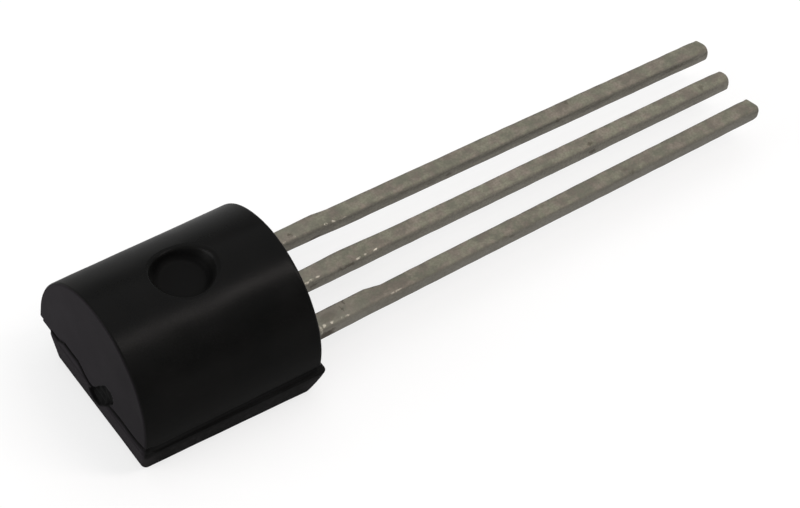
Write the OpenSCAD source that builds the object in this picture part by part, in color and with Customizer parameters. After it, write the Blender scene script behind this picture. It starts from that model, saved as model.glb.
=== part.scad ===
// Three-lead temperature sensor in a moulded round-back package, lying on its flat face.
// Lengths are in millimetres. +X runs out along the leads and +Z is up, towards the round back.
// The origin is under the middle of the whole part, on the plane of the flat face.

/* [Moulded body] */
// Length of the body along the leads
body_len = 4.6; // [4.3:0.05:5.2]
// Radius of the round back
round_r = 2.23; // [2.15:0.01:2.5]
// Height of the straight walls, from the parting plane up to where the round back starts
wall_h = 0.43; // [0.4:0.01:0.7]
// Height of the flat half, from the flat face up to the parting plane
flat_half_h = 0.74; // [0.6:0.01:1.1]
// Width of the flat face
flat_w = 3.68; // [3.4:0.02:3.9]
// Width of the flat half at the parting plane
flat_top_w = 4.0; // [3.9:0.02:4.1]
// Sideways offset of the flat half from the round half
half_shift = 0.22; // [0:0.01:0.24]
// How far the flat half slopes in at the closed end
closed_slope = 0.1; // [0.02:0.01:0.2]
// How far the flat half slopes in at the lead end
lead_slope = 0.16; // [0.02:0.01:0.3]
// How far the flat half reaches past the round half at the lead end
lip = 0.15; // [0.01:0.01:0.2]
// Rounding of the round half's rims
rim_r = 0.06; // [0.05:0.01:0.15]
// Height of the groove along the parting plane
groove_h = 0.2; // [0.1:0.01:0.25]
// Depth of the groove along the parting plane
groove_depth = 0.07; // [0.03:0.01:0.1]

/* [Mould marks] */
// Diameter of the ejector mark at the height of the crest
mark_d = 1.6; // [1.3:0.02:1.8]
// Diameter of the ejector mark's floor
mark_floor_d = 1.12; // [0.9:0.02:1.28]
// Depth of the ejector mark below the crest
mark_depth = 0.4; // [0.3:0.01:0.45]
// Sideways place of the ejector mark
mark_y = 0.1; // [-0.2:0.02:0.2]
// Width of the gate mark on the closed end
gate_w = 0.46; // [0.3:0.02:0.6]
// Length of the gate mark
gate_len = 1.14; // [0.8:0.02:1.3]
// Lean of the gate mark from upright towards the near side, in degrees
gate_lean = 38; // [0:1:60]
// Depth of the gate mark
gate_depth = 0.18; // [0.08:0.01:0.25]
// Sideways place of the gate mark's middle
gate_y = -0.36; // [-0.5:0.02:0.2]
// Height of the gate mark's middle above the parting plane
gate_rise = 0.14; // [0.1:0.02:0.3]

/* [Leads] */
// Distance from lead to lead at the body
lead_pitch = 1.27; // [1.2:0.01:1.4]
// Width of a lead
lead_w = 0.38; // [0.34:0.01:0.48]
// Thickness of the lead strip
lead_t = 0.36; // [0.3:0.01:0.4]
// Length of a lead outside the body
lead_len = 13.63; // [10:0.01:16]
// Length of the wider root next to the body, as far as the cut tie bar
root_len = 1.9; // [1.2:0.05:2.4]
// Length over which the root tapers to the lead's width
root_taper = 0.5; // [0.1:0.05:0.8]
// How far the far corner of a lead's cut tip lies behind its near corner
tip_slant = 0.07; // [0.01:0.01:0.2]
// Size of the corners cut off a lead's tip, in plan
tip_corner = 0.06; // [0.02:0.01:0.1]
// Size of the edge rolled over by the cut, under a lead's tip
tip_roll = 0.1; // [0.02:0.01:0.2]
// Toe-in of the outer leads, in degrees
toe_in = 0.75; // [0:0.05:1]

/* [Inner lead ends] */
// Epoxy between the die paddle and the closed end
paddle_cover = 0.95; // [0.7:0.05:1.1]
// Longest neck between the die paddle and the lead end of the body
paddle_neck = 1.7; // [1.5:0.05:1.8]
// Room on the paddle past the bond layer, for the ground wire's stitch
stitch_room = 0.65; // [0.4:0.05:0.8]
// Length of the neck between a bond post and the lead end of the body
post_neck = 1.5; // [1.2:0.05:1.7]
// Length of a bond post
post_len = 0.9; // [0.6:0.05:1.1]
// Width of a bond post
post_w = 0.7; // [0.6:0.02:0.8]
// Gap between a bond post and the die paddle
post_gap = 0.2; // [0.15:0.01:0.25]

/* [Die and wires] */
// Length of the die
die_len = 1.0; // [0.7:0.02:1.1]
// Width of the die
die_w = 1.0; // [0.7:0.02:1.1]
// Thickness of the die
die_t = 0.28; // [0.2:0.01:0.36]
// Distance from the closed-end edge of the paddle to the die
die_setback = 0.24; // [0.15:0.01:0.3]
// Thickness of the bond layer under the die
attach_t = 0.03; // [0.02:0.005:0.05]
// How far the bond layer is squeezed out around the die
attach_rim = 0.06; // [0.03:0.01:0.1]
// Diameter of a bond wire
wire_d = 0.05; // [0.04:0.005:0.06]
// Diameter of the ball that bonds a wire to the die
ball_d = 0.11; // [0.1:0.01:0.14]
// Height of the bonded ball
ball_h = 0.035; // [0.03:0.005:0.05]
// Distance from a bond pad's centre to the edge of the die
pad_inset = 0.13; // [0.1:0.01:0.2]
// Sideways place where the ground wire is stitched to the paddle
ground_y = 0.2; // [0.1:0.02:0.4]

/* [Hidden] */
$fn = 64;

// Overrun of cuts past the faces that they open
over = 0.2;
// Number of flats in a rounded corner
corner_steps = 6;

// Leads in order from the far side (+Y) to the near side: sideways place, in pitches
lead_places = [1, 0, -1];
// How much each root stands out on its far side and on its near side, as shares of a lead's width:
// at the body, and at the cut tie bar
exit_far_shares = [-0.02, 0.02, 0.18];
exit_near_shares = [0.04, 0.05, 0.12];
root_far_shares = [0.1, 0.16, 0.18];
root_near_shares = [0.04, 0.04, 0.06];
// Length over which each root tapers, as a share of root_taper
taper_shares = [1, 3.5, 1];
// How much longer or shorter each lead was cut, as a share of the lead's length
cut_shares = [0.009, -0.004, 0];
// Rounding of the gate mark's corners, as a share of its width
gate_corner_share = 0.4;
// Radius of a bond wire's loop, as a share of the distance that it spans
loop_share = 0.55;

// Places along X
total_len = body_len + lead_len * (1 + max(cut_shares));
x_closed = -total_len / 2;
x_exit = x_closed + body_len;
x_middle = x_closed + body_len / 2;
x_paddle = x_closed + paddle_cover;
x_die = x_paddle + die_setback;
x_stitch = x_die + die_len + attach_rim + stitch_room / 2;
paddle_len = max(body_len - paddle_cover - paddle_neck, die_setback + die_len + attach_rim + stitch_room);
x_post = x_exit - post_neck - post_len;

// Places along Y: the paddle fills the room between the posts
paddle_w = 2 * (lead_pitch - post_w / 2 - post_gap);

// Places along Z: the leads lie on the parting plane
z_part = flat_half_h;
z_lead_top = z_part + lead_t;
z_arc = z_part + wall_h;
z_crest = z_arc + round_r;
z_die = z_lead_top + attach_t;
z_die_top = z_die + die_t;

// Quarter turn of a rounded corner, as points in counter-clockwise order
function corner(x, y, r, start) = [
    for (i = [0 : corner_steps])
        let (turn = start + 90 * i / corner_steps)
            [x + r * cos(turn), y + r * sin(turn)]
];

// Rectangle in plan with rounded corners
module rounded_plan(x0, x1, half_w, r) {
    polygon(concat(
        corner(x0 + r, r - half_w, r, 180),
        corner(x1 - r, r - half_w, r, 270),
        corner(x1 - r, half_w - r, r, 0),
        corner(x0 + r, half_w - r, r, 90)
    ));
}

// Half section of the round back, from its axis outwards, with both rims rounded
module rim_section() {
    polygon(concat(
        [[0, 0]],
        corner(round_r - rim_r, rim_r, rim_r, 270),
        corner(round_r - rim_r, body_len - rim_r, rim_r, 0),
        [[0, body_len]]
    ));
}

// Round half of the moulding: a half turn of the rim section on straight walls, grooved at its foot
module round_half() {
    translate([x_closed, 0, z_arc])
        rotate([0, 90, 0])
            rotate([0, 0, 90])
                rotate_extrude(angle = 180)
                    rim_section();
    translate([0, 0, z_part + groove_h])
        linear_extrude(wall_h - groove_h)
            rounded_plan(x_closed, x_exit, round_r, rim_r);
    translate([0, 0, z_part])
        linear_extrude(wall_h)
            rounded_plan(x_closed + groove_depth, x_exit - groove_depth, round_r - groove_depth, rim_r);
}

// Flat half of the moulding: a block with four drafted sides, from a profile in each direction
module flat_half() {
    across = [
        [-flat_w / 2, 0],
        [flat_w / 2, 0],
        [flat_top_w / 2, z_part],
        [-flat_top_w / 2, z_part]
    ];
    along = [
        [x_closed + closed_slope, 0],
        [x_exit - lead_slope, 0],
        [x_exit + lip, z_part],
        [x_closed, z_part]
    ];
    translate([0, -half_shift, 0])
        intersection() {
            translate([x_closed, 0, 0])
                rotate([90, 0, 90])
                    linear_extrude(body_len + lip)
                        polygon(across);
            translate([0, flat_top_w / 2, 0])
                rotate([90, 0, 0])
                    linear_extrude(flat_top_w)
                        polygon(along);
        }
}

// Round recess with a sloping wall, left on the crest by the ejector pin
module ejector_mark() {
    flare = (mark_d - mark_floor_d) / mark_depth;
    translate([x_middle, mark_y, z_crest - mark_depth])
        cylinder(d1 = mark_floor_d, d2 = mark_d + flare * over, h = mark_depth + over);
}

// Recess where the gate broke off at the closed end
module gate_mark() {
    translate([x_closed - over, gate_y, z_part + gate_rise])
        rotate([gate_lean, 0, 0])
            rotate([0, 90, 0])
                linear_extrude(gate_depth + over)
                    rounded_plan(-gate_len / 2, gate_len / 2, gate_w / 2, gate_corner_share * gate_w);
}

// A point on a lead's outline outside the body, moved sideways by the toe-in
function toed(x, y, place) = [x, y - place * tan(toe_in) * (x - x_exit)];

// Where one lead's cut tip ends
function lead_tip(i) = x_exit + lead_len * (1 + cut_shares[i]);

// Outline of one lead from a start inside its pad to its cut tip
function lead_outline(i, x_start) =
    let (
        place = lead_places[i],
        half = lead_w / 2,
        exit_far = half + exit_far_shares[i] * lead_w,
        exit_near = half + exit_near_shares[i] * lead_w,
        root_far = half + root_far_shares[i] * lead_w,
        root_near = half + root_near_shares[i] * lead_w,
        x_root = x_exit + root_len,
        x_plain = x_root + root_taper * taper_shares[i],
        x_tip = lead_tip(i)
    ) [
        [x_start, exit_far],
        [x_exit, exit_far],
        toed(x_root, root_far, place),
        toed(x_plain, half, place),
        toed(x_tip - tip_slant - tip_corner, half, place),
        toed(x_tip - tip_slant, half - tip_corner, place),
        toed(x_tip, tip_corner - half, place),
        toed(x_tip - tip_corner, -half, place),
        toed(x_plain, -half, place),
        toed(x_root, -root_near, place),
        [x_exit, -exit_near],
        [x_start, -exit_near]
    ];

// One stamped lead: its outline and the pad on its inner end, cut from the same strip
module lead(i, pad_x, pad_len, pad_w) {
    side = [
        [pad_x, 0],
        [lead_tip(i) - tip_roll, 0],
        [lead_tip(i), tip_roll],
        [lead_tip(i), lead_t],
        [pad_x, lead_t]
    ];
    translate([0, lead_places[i] * lead_pitch, z_part])
        union() {
            intersection() {
                linear_extrude(lead_t)
                    polygon(lead_outline(i, pad_x + pad_len / 2));
                translate([0, lead_pitch, 0])
                    rotate([90, 0, 0])
                        linear_extrude(2 * lead_pitch)
                            polygon(side);
            }
            translate([pad_x, -pad_w / 2, 0])
                cube([pad_len, pad_w, lead_t]);
        }
}

// Lead on the far side, with a bond post
module far_lead() {
    color([0.6, 0.59, 0.53])
        lead(0, x_post, post_len, post_w);
}

// Middle lead, with the die paddle
module middle_lead() {
    color([0.6, 0.59, 0.53])
        lead(1, x_paddle, paddle_len, paddle_w);
}

// Lead on the near side, with a bond post
module near_lead() {
    color([0.6, 0.59, 0.53])
        lead(2, x_post, post_len, post_w);
}

// Bond layer that holds the die on the paddle
module die_attach() {
    color([0.7, 0.7, 0.68])
        translate([x_die - attach_rim, -die_w / 2 - attach_rim, z_lead_top])
            cube([die_len + 2 * attach_rim, die_w + 2 * attach_rim, attach_t]);
}

// Silicon die
module sensor_die() {
    color([0.35, 0.37, 0.42])
        translate([x_die, -die_w / 2, z_die])
            cube([die_len, die_w, die_t]);
}

// Bond wire: a ball on the die, and an arc from it down to its stitch, trimmed flush at both ends
module bond_wire(start, finish) {
    run = norm([finish.x - start.x, finish.y - start.y]);
    heading = atan2(finish.y - start.y, finish.x - start.x);
    drop = start.z - finish.z;
    chord = norm([run, drop]);
    slope = atan2(drop, run);
    loop_r = loop_share * chord;
    half_sweep = asin(chord / (2 * loop_r));
    sag = loop_r * cos(half_sweep);
    past = 2 * atan(wire_d / loop_r);
    above = [
        [-loop_r, 0],
        [run / 2, 0],
        [run / 2, -drop],
        [run + loop_r, -drop],
        [run + loop_r, loop_r],
        [-loop_r, loop_r]
    ];
    color([0.85, 0.68, 0.3])
        translate(start)
            rotate([0, 0, heading])
                union() {
                    cylinder(d = ball_d, h = ball_h);
                    rotate([90, 0, 0])
                        intersection() {
                            translate([run / 2 - sag * sin(slope), -drop / 2 - sag * cos(slope), 0])
                                rotate([0, 0, 90 - slope - half_sweep - past])
                                    rotate_extrude(angle = 2 * (half_sweep + past))
                                        translate([loop_r, 0])
                                            circle(d = wire_d);
                            translate([0, 0, -wire_d])
                                linear_extrude(2 * wire_d)
                                    polygon(above);
                        }
                }
}

// Wire from the die to the post of the far lead
module supply_wire() {
    bond_wire(
        [x_die + die_len - pad_inset, die_w / 2 - pad_inset, z_die_top],
        [x_post + post_len / 2, lead_pitch, z_lead_top]
    );
}

// Wire from the die to the post of the near lead
module signal_wire() {
    bond_wire(
        [x_die + die_len - pad_inset, pad_inset - die_w / 2, z_die_top],
        [x_post + post_len / 2, -lead_pitch, z_lead_top]
    );
}

// Wire from the die down to the paddle that carries it
module ground_wire() {
    bond_wire(
        [x_die + die_len - pad_inset, 0, z_die_top],
        [x_stitch, ground_y, z_lead_top]
    );
}

// Epoxy moulding, with room for all that it is moulded around
module body() {
    color([0.09, 0.09, 0.1])
        difference() {
            union() {
                round_half();
                flat_half();
            }
            ejector_mark();
            gate_mark();
            far_lead();
            middle_lead();
            near_lead();
            die_attach();
            sensor_die();
            supply_wire();
            signal_wire();
            ground_wire();
        }
}

body();
far_lead();
middle_lead();
near_lead();
die_attach();
sensor_die();
supply_wire();
signal_wire();
ground_wire();
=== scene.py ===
"""Looks of a small three-lead temperature sensor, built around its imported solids."""

import math

import bpy
import numpy as np
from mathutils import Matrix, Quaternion, Vector


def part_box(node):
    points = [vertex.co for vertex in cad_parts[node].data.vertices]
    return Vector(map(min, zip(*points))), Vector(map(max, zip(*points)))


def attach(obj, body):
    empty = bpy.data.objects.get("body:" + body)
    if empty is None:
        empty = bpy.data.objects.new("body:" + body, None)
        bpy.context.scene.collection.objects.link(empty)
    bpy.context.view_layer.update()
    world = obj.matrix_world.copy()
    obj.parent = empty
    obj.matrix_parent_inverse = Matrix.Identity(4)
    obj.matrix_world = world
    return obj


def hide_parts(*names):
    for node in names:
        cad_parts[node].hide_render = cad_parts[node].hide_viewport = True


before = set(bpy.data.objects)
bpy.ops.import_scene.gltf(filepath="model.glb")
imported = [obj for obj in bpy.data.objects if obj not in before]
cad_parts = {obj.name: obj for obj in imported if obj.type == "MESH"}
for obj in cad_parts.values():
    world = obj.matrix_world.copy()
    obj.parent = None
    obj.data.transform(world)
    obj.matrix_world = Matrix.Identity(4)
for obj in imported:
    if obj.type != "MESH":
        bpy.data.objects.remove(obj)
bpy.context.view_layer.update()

# Sizes are in millimetres until a mesh is made
MM = 0.001
TURN = 2 * math.pi

# Places taken from the frame
BODY_LOW, BODY_HIGH = (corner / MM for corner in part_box("body"))
LEAD_LOW, LEAD_HIGH = (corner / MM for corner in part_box("near_lead"))
X_CLOSED = BODY_LOW.x
ROUND_R = BODY_HIGH.y
Z_CREST = BODY_HIGH.z
Z_ARC = Z_CREST - ROUND_R
Z_PART = LEAD_LOW.z
Z_LEAD_TOP = LEAD_HIGH.z
LEAD_T = Z_LEAD_TOP - Z_PART

# Moulded body
BODY_LEN = 4.6
RIM_R = 0.06
GROOVE_H = 0.2
GROOVE_RISE = 0.03
GROOVE_DEPTH = 0.055
END_GROOVE_H = 0.09
END_REACH = 0.3
FLAT_W = 3.7
FLAT_TOP_W = 4.02
HALF_SHIFT = 0.232
CLOSED_SLOPE = 0.1
LEAD_SLOPE = 0.14
LEAD_SWELL = 1.6
CLOSED_LEAN = 0.03
LEAD_LEAN = 0.03
LEAD_OUT = 0.02
FAR_TAPER = 0.02
FLAT_TURN = 0.0195
FLAT_EDGE_R = 0.045
FLAT_CORNER_R = 0.12
WALL_EDGE_R = 0.05
SEAM_BLEND = 0.015
X_MIDDLE = X_CLOSED + BODY_LEN / 2
X_EXIT = X_CLOSED + BODY_LEN
LIP = BODY_HIGH.x - X_EXIT + LEAD_OUT

# Parting line on the closed end: its height above the parting plane, from the near side to the far side
END_LINE_Y = (-2.2, -1.9, -0.9, 0.1, 0.3, 0.6, 1.2, 1.45, 2.2)
END_LINE_RISE = (0.26, 0.20, 0.19, 0.06, 0.14, 0.29, 0.29, 0.15, 0.13)

# Mould marks
MARK_R = 0.8
MARK_FLOOR_R = 0.56
MARK_DEPTH = 0.4
MARK_Y = 0.1
MARK_EDGE_R = 0.09
MARK_SHARP_R = 0.04
MARK_FOOT_R = 0.12
GATE_HALF_LEN = 0.7
GATE_HALF_W = 0.23
GATE_LEAN = math.radians(38)
GATE_DEPTH = 0.14
GATE_Y = -0.36
GATE_RISE = 0.1
GATE_EDGE_R = 0.03

# Small unevenness of the moulding: its height and its wavelength
SEAM_WAVE, SEAM_WAVE_LEN = 0.015, 0.9
SKIN_WAVE, SKIN_WAVE_LEN = 0.003, 1.3
GATE_WAVE, GATE_WAVE_LEN = 0.008, 0.25

# Spacing of the grid that the body's surface is taken from, and how often its points are evened out
BODY_STEP = (0.04, 0.034, 0.034)
RELAX_PASSES = 2

# Leads, from the far side to the near side
LEAD_NAMES = ("far_lead", "middle_lead", "near_lead")
LEAD_PLACES = (1, 0, -1)
LEAD_PITCH = 1.27
LEAD_W = 0.38
TOE_IN = math.tan(math.radians(0.75))
ROOT_LENS = (2.2, 2.15, 2.0)
ROOT_TAPER = 0.5
TAPER_SHARES = (0.8, 3.0, 0.8)
EXIT_FAR_SHARES = (-0.06, 0.01, 0.18)
EXIT_NEAR_SHARES = (0.11, 0.13, 0.17)
ROOT_FAR_SHARES = (0.11, 0.16, 0.19)
ROOT_NEAR_SHARES = (0.11, 0.1, 0.12)
PAD_LENS = (0.9, 1.95, 0.9)
PAD_WIDTHS = (0.7, 1.44, 0.7)
FAR_GROWTH = ((0.0, 0.02), (0.016, 0.006), (-0.014, 0.024))
NEAR_GROWTH = ((0.06, 0.048), (0.03, 0.008), (0.05, 0.042))
TIP_REACHES = (0.085, 0.08, 0.03)
TIP_BULGE = 0.03
TIP_SLANTS = (0.15, 0.1, 0.12)
TIP_NEAR_R = (0.12, 0.12, 0.08)
TIP_FAR_R = (0.01, 0.05, 0.01)
TIP_TOP_R = 0.05
TIP_LOW_R = (0.16, 0.09, 0.2)
TIP_CUTS = 12
TIP_FAR_SOFT = 0.7
TIP_NEAR_SOFT = (1.5, 1.1, 0.7)
TIP_FADE = 0.6
LOW_NEAR_R = 0.04
LOW_FAR_R = 0.025
TOP_FAR_R = 0.05
TOP_NEAR_R = 0.11
EDGE_WAVE, EDGE_WAVE_LEN = 0.0035, 0.5
EDGE_BOW, EDGE_BOW_LEN = 0.004, 3.5
RING_GAP = 0.06
SHARP_ANGLE = math.radians(50)

# How ragged the edges of the marks on the leads are
FLECK_RAGGED = 0.07
STAIN_AND_SHADE_RAGGED = 0.2
# Marks on each lead, from the far one to the near one: distance from the body, place across from the
# lead's middle, height above its underside, reach along the lead and around it, and strength
FLECKS = (
    (
        (1.20, -0.14, 0.34, 0.06, 0.03, 0.35),
        (1.50, -0.12, 0.35, 0.06, 0.03, 0.3),
        (2.36, -0.15, 0.33, 0.07, 0.035, 0.9),
        (2.56, -0.15, 0.33, 0.08, 0.03, 0.8),
        (2.80, -0.16, 0.32, 0.14, 0.025, 0.45),
    ),
    (
        (1.00, -0.14, 0.33, 0.07, 0.04, 0.8),
        (1.12, -0.13, 0.34, 0.08, 0.035, 0.9),
        (1.30, -0.13, 0.34, 0.08, 0.03, 0.6),
        (2.42, -0.15, 0.33, 0.09, 0.035, 0.8),
        (2.62, -0.14, 0.34, 0.05, 0.03, 0.55),
        (2.90, -0.14, 0.34, 0.07, 0.035, 0.9),
    ),
    (
        (0.52, -0.15, 0.30, 0.04, 0.11, 0.5),
        (0.63, -0.12, 0.34, 0.06, 0.045, 0.8),
        (0.84, -0.12, 0.34, 0.06, 0.04, 0.7),
        (1.10, -0.13, 0.34, 0.08, 0.03, 0.5),
        (1.25, -0.13, 0.34, 0.08, 0.03, 0.55),
        (2.62, -0.14, 0.34, 0.25, 0.025, 0.45),
    ),
)
# Stains on each lead; those low on the near side next to the body are painted shade under the root
STAINS_AND_SHADE = (
    (
        (1.43, -0.04, 0.36, 0.09, 0.06, 0.6),
        (2.05, -0.19, 0.06, 0.25, 0.08, 0.7),
        (5.34, -0.19, 0.14, 0.16, 0.08, 0.45),
        (5.85, -0.19, 0.18, 0.10, 0.08, 0.5),
        (9.07, -0.18, 0.28, 0.10, 0.06, 0.5),
        (9.55, 0.12, 0.36, 0.08, 0.06, 0.5),
        (12.60, -0.19, 0.24, 0.50, 0.05, 0.5),
    ),
    (
        (1.15, -0.19, 0.20, 0.16, 0.08, 0.6),
        (2.05, -0.17, 0.28, 0.40, 0.05, 0.5),
        (9.25, -0.10, 0.36, 0.13, 0.07, 0.7),
        (9.28, -0.19, 0.16, 0.14, 0.10, 0.7),
        (9.51, 0.16, 0.36, 0.13, 0.06, 0.7),
        (10.68, 0.12, 0.36, 0.14, 0.05, 0.4),
        (12.77, -0.02, 0.36, 0.09, 0.10, 0.45),
    ),
    (
        (0.85, 0.00, 0.36, 0.32, 0.13, 0.3),
        (0.80, -0.17, 0.22, 0.10, 0.07, 0.6),
        (0.66, -0.19, 0.12, 0.28, 0.15, 0.95),
        (1.25, 0.03, 0.36, 0.035, 0.09, 0.6),
        (1.37, 0.14, 0.36, 0.03, 0.09, 0.6),
        (5.75, -0.15, 0.34, 0.12, 0.05, 0.4),
        (5.96, -0.19, 0.26, 0.10, 0.06, 0.45),
        (7.06, 0.10, 0.36, 0.10, 0.07, 0.35),
        (9.46, -0.02, 0.36, 0.12, 0.08, 0.35),
        (9.58, -0.14, 0.34, 0.12, 0.05, 0.45),
    ),
)
# How much each lead's top and sheared sides are brightened by painted light, to even out how the three leads
# are lit, and how dark the line of painted shade along the sides is
TOP_LIGHT_GAINS = (1.05, 1.1, 1.0)
SIDE_LIGHT_GAINS = (1.32, 1.32, 1.0)
LINE_SHADE_DEPTHS = (0.65, 0.15, 0.12)

# Covers on the epoxy, each from where it starts to where it is full. First come heights above the flat
# face, and distances from the ejector mark's middle, the gate mark's middle line and the closed end
CREST_RISE = (1.2, 2.0)
MARK_RISE = (Z_CREST - 0.6, Z_CREST - 0.5)
MARK_FADE = (MARK_R - 0.05, MARK_R - 0.2)
MARK_BEYOND = (-0.5, 0.1)
GATE_FADE = (GATE_HALF_W + 0.05, GATE_HALF_W - 0.02)
GATE_REACH = (0.3, 0.2)
# Distances from the nearer end, and places along the body and across it
END_FADE = (0.1, 0.05)
CORNER_FADE = (0.55, 0.05)
SHADE_SPAN = (X_MIDDLE - 1.0, X_MIDDLE + 1.0)
GROOVE_SPAN = (X_MIDDLE - 0.5, X_MIDDLE + 0.8)
END_SPAN = (-2.2, 2.2)
# Heights above the parting plane. A band has those where it starts, is full, is still full and ends
END_LOW = (0.12, -0.05)
PALE_LOW_FALL = (0.0, -0.3)
LOW_FALL = (0.2, 0.0)
SHADE_BAND = (-0.26, -0.1, -0.04, 0.02)
GROOVE_BAND = (-0.03, 0.01, 0.06, 0.14)
EAVE_BAND = (0.06, 0.12, GROOVE_H + 0.02, GROOVE_H + 0.1)
# Directions that the surface faces along one axis, from -1 to 1
END_FACING = (0.55, 0.85)
SIDE_FACING = (0.4, 0.8)
LEDGE_FACING = (0.3, 0.7)
CREST_FACING = (0.9, 0.98)
WALL_FACING = (0.97, 0.85)
FLAT_FACING = (-0.7, -0.95)
DOWN_FACING = (-0.05, -0.35)
FAR_FACING = (0.2, 0.6)
NEAR_FACING = (-0.75, -0.95)
# How strong the covers are at most, or at their two ends
CREST_SHADE_SHARE = 0.4
WALL_SHADE_SHARE = 0.8
MARK_FLOOR_SHADE_SHARE = 0.15
PALE_LOW_SHARE = 0.55
CORNER_SHARE = 0.9
FLAT_SHARE = 0.2
SHADE_SHARES = (0.6, 0.15)
EAVE_SHADE_SHARE = 0.75
SCUFF_SHARE = 0.3
GATE_SHADE_SHARE = 0.8

# Colours of the epoxy, the darker before the paler where it varies
EPOXY_BACK = ((0.0044, 0.0045, 0.0043), (0.0058, 0.0057, 0.0055))
# The ends are paler for their matt finish, and paler still towards the far side and below the parting line by
# painted light
EPOXY_NEAR_END = ((0.0064, 0.0054, 0.0065), (0.0084, 0.0071, 0.0086))
EPOXY_FAR_END_LIT = ((0.0108, 0.0091, 0.0111), (0.0138, 0.0118, 0.0141))
EPOXY_LOW_END_LIT = ((0.0132, 0.0115, 0.0133), (0.0166, 0.0146, 0.0168))
# Painted shade that darkens the crest of the round back
EPOXY_CREST_SHADE = (0.0025, 0.0025, 0.0025)
# Painted shade on the ejector mark's wall and in the upper part of the groove
EPOXY_DEEP_SHADE = (0.0010, 0.0010, 0.0010)
EPOXY_SHADE = (0.0015, 0.0015, 0.0015)
# Painted shade in the gate mark and on its edge
EPOXY_GATE_SHADE = (0.0055, 0.0055, 0.0055)
# Painted light low in the groove and on the ledge under it
EPOXY_GROOVE_LIGHT = (0.0085, 0.0085, 0.0085)
EPOXY_PALE_LOW = (0.0175, 0.0160, 0.0170)
EPOXY_SCUFF = (0.016, 0.015, 0.014)

# How rough the epoxy's back is at the closed end and at the lead end, how much that varies, and how much
# rougher the rest is
BACK_ROUGH = (0.29, 0.22)
CLOUD_ROUGH = (-0.02, 0.03)
GRAIN_ROUGH = (-0.02, 0.02)
END_DULL = 0.35
MARK_DULL = 0.3
GATE_DULL = 0.6
DOWN_DULL = 0.6
FAR_DULL = 0.19
NEAR_DULL = 0.42
LOW_DULL = 0.62

# Colours of the tinned leads, the darker before the paler where they vary
TIN_WARM = ((0.132, 0.113, 0.089), (0.212, 0.182, 0.146))
TIN_GREEN = ((0.121, 0.119, 0.086), (0.194, 0.188, 0.138))
TIN_SHEAR = ((0.138, 0.130, 0.106), (0.188, 0.178, 0.148))
# Painted light next to the body, against the shadow the body casts on the leads
TIN_ROOT_LIGHT = (0.235, 0.222, 0.185)
TIN_SPECK = (0.088, 0.083, 0.066)
# Painted shade along the leads' edges and sides
TIN_EDGE_SHADE = (0.040, 0.038, 0.030)
TIN_STAIN_AND_SHADE = (0.048, 0.036, 0.022)
# Painted glint of the burnished flecks
TIN_FLECK_GLINT = (0.60, 0.56, 0.46)

# Covers on a lead: by facing, by distance from the body, and by share of its height or of half its width
SHEAR_FACING = (0.5, 0.85)
ROOT_LIGHT_FADE = (2.6, 0.8)
LINE_GROWTH = (2.0, 8.0)
LINE_BAND = (0.35, 0.6, 0.85, 1.0)
FAR_EDGE = (0.78, 1.0)
LOW_EDGE = (0.2, 0.0)
EDGE_RAGGED = 0.1
SPOT_CORE = 0.45
# How strong they are at most, or at their two ends
ROOT_LIGHT_SHARE = 0.3
SPECK_SHARE = 0.4
LINE_SHARES = (0.5, 1.0)
EDGE_SHADE_SHARE = 0.7

# How rough the leads are, how much their streaks vary that, and how much smoother the flecks are
TIN_ROUGH = (0.58, 0.70)
STREAK_ROUGH = (-0.05, 0.05)
FLECK_POLISH = -0.25

# Pieces inside: their colours, and how much their roughness varies
WIRE_GOLD = ((0.70, 0.48, 0.16), (0.85, 0.62, 0.25))
BOND_GREY = ((0.45, 0.45, 0.43), (0.65, 0.65, 0.62))
SILICON_GREY = ((0.09, 0.10, 0.13), (0.14, 0.15, 0.19))
INNER_ROUGHER = 0.1

# Fine relief: its strength and its depth in millimetres
EPOXY_RELIEF = (0.3, 0.003)
TIN_RELIEF = (0.35, 0.006)
INNER_RELIEF = (0.2, 0.001)

# Parts of the noise's range that are used
CLOUD_RANGE = (0.3, 0.7)
SPECK_RANGE = (0.35, 0.65)
FLECK_RANGE = (0.35, 0.55)
PATCH_RANGE = (0.36, 0.64)
TINT_RANGE = (0.38, 0.62)
LINE_RANGE = (0.4, 0.6)
PALE_LOW_RANGE = (0.42, 0.68)
SCUFF_RANGE = (0.66, 0.74)
# How the noise is drawn out along the part, and moved where two kinds of it would look alike
SCUFF_STRETCH = (0.35, 1.6, 1.6)
STREAK_STRETCH = (0.5, 9.0, 9.0)
TINT_SHIFT = (31.0, 17.0, 5.0)

# Stage, with its own sizes and places in metres. The floor lies a little under the flat face, so that the
# two don't share a plane
FLOOR_GAP = 0.00001
FLOOR_SIZE = (2.0, 2.0)
FLOOR_COLOUR = (0.93, 0.93, 0.93)
FLOOR_GLOW = 0.7
CARD_PLACE = (0.085, -0.17, 0.07)
CARD_TOWARDS = (-0.45, 0.88, -0.1)
CARD_SIZE = (0.30, 0.16)
CARD_COLOUR = (0.2, 0.2, 0.2)
SKY_STRENGTH = 0.6
# Each lamp's place, aim, size, power and colour
BODY_AIM = (X_MIDDLE * MM, 0, 0.002)
LAMPS = {
    "overhead": ((0.08, 0.10, 0.30), (0, 0, 0), (0.36, 0.36), 0.385, (1, 1, 1)),
    "strip": ((0.17, -0.12, 0.30), BODY_AIM, (0.28, 0.05), 0.44, (1.0, 0.92, 0.89)),
    "side": ((-0.30, 0.10, 0.12), BODY_AIM, (0.20, 0.20), 0.5, (1, 1, 1)),
}

# Camera, at the photograph's place, in millimetres
CAMERA_EYE = Vector((-30.6605, -33.325, 54.0812))
CAMERA_AIM = Vector((-2.1062, -1.5226, 2.6249))
CAMERA_ROLL = math.radians(8.82)
CAMERA_LENS = 134.26
CAMERA_SENSOR = 36


# Distances to the moulded body

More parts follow.
